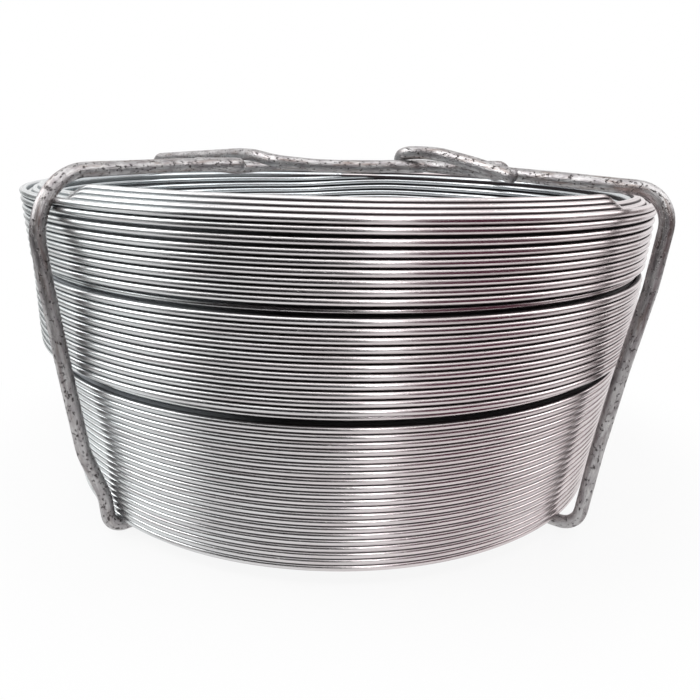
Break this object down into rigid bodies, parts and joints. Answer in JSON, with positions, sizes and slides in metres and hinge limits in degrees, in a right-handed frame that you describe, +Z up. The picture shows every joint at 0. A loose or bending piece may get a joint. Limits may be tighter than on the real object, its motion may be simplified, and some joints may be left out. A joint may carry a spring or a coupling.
{
  "type": "coil of binding wire",
  "caption": "Coil of bare steel binding wire wound in stepped bands, held by two heavier galvanised tie wires that cross under it and hook together over the bore.",
  "frame": {"origin": "on the floor under the middle of the coil, on its axis", "axes": "+Z up along the axis of the coil, -Y towards the front of the picture, +X to the right; the coil stands on its end on the two tie wires"},
  "size_m": [0.1568, 0.1568, 0.0859],
  "materials": {
    "coil_wire": "bare drawn steel wire, dull grey with a slight brown tinge",
    "tie_wire": "dull galvanised wire with scuffs and dark specks"
  },
  "bodies": {
    "root": {"wire_coil": "coil_wire", "left_tie_wire": "tie_wire", "right_tie_wire": "tie_wire"}
  },
  "joints": []
}
